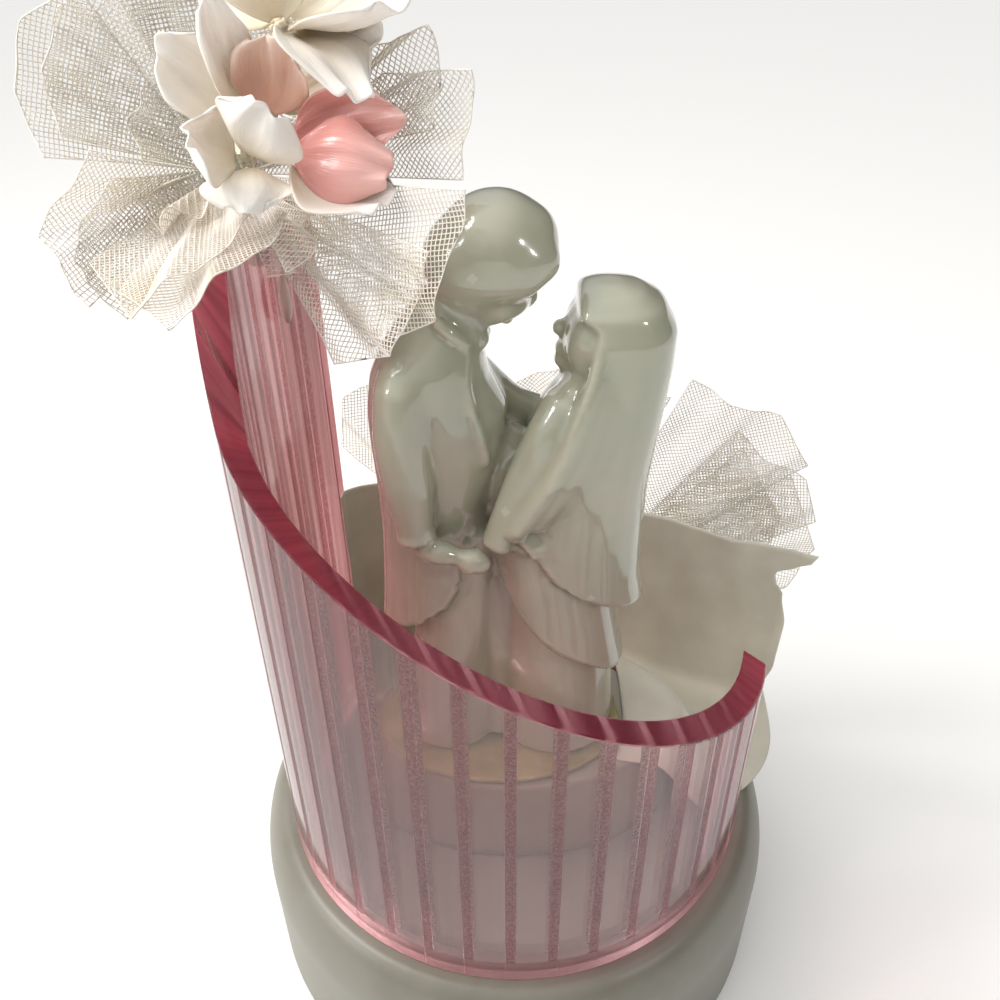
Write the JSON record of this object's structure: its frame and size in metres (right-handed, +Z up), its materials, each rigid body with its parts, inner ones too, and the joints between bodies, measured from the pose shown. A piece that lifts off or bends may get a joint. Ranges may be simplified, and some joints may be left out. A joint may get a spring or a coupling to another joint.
{
  "type": "wedding cake topper",
  "caption": "Wedding cake topper with a glazed porcelain bride and groom inside a curved pink acrylic screen, tulle and satin flowers on a white drum.",
  "frame": {"origin": "centre of the drum's underside, on the resting plane", "axes": "+Z up through the couple, -Y towards the viewer of the picture, +X to the viewer's right"},
  "size_m": [0.1499, 0.114, 0.2082],
  "materials": {
    "white_plastic": "smooth, softly glossy",
    "yellowed_glue": "set, glossy",
    "porcelain": "clear glaze",
    "pink_acrylic": "clear, polished, frosted stripes",
    "clear_glue": "set, glossy",
    "cream_satin": "satin",
    "tulle": "open net",
    "floral_tape": "matte",
    "stem_wire": "matte paint",
    "white_petal": "satin",
    "peach_petal": "satin",
    "pink_petal": "satin"
  },
  "bodies": {
    "root": {"base_drum": "white_plastic", "couple_riser": "white_plastic", "glue_pad": "yellowed_glue", "porcelain_couple": "porcelain", "acrylic_screen": "pink_acrylic", "glue_drip": "clear_glue", "back_tulle_glue": "clear_glue", "satin_drape": "cream_satin", "back_tulle_right": "tulle", "back_tulle_low": "tulle", "back_tulle_left": "tulle", "back_tulle_middle": "tulle", "top_tulle_left": "tulle", "top_tulle_front": "tulle", "top_tulle_low_right": "tulle", "top_tulle_right": "tulle", "top_tulle_high_left": "tulle", "top_tulle_back": "tulle", "floral_tape": "floral_tape", "blossom_stem": "stem_wire", "peach_stem": "stem_wire", "cup_stem": "stem_wire", "bud_stem": "stem_wire", "blossom_eye": "white_petal", "peach_eye": "white_petal", "cup_eye": "white_petal", "bud_eye": "white_petal", "blossom_petal_cream": "white_petal", "blossom_petal_veined": "white_petal", "blossom_petal_high": "white_petal", "blossom_petal_back_left": "white_petal", "blossom_petal_back_right": "white_petal", "peach_petal_narrow": "white_petal", "peach_petal_left": "white_petal", "peach_petal_right": "white_petal", "cup_petal_outer": "white_petal", "bud_petal_left": "white_petal", "bud_petal_top": "white_petal", "bud_petal_low": "white_petal", "peach_petal_inner": "peach_petal", "cup_petal_lower": "pink_petal", "cup_petal_upper": "pink_petal"}
  },
  "joints": []
}
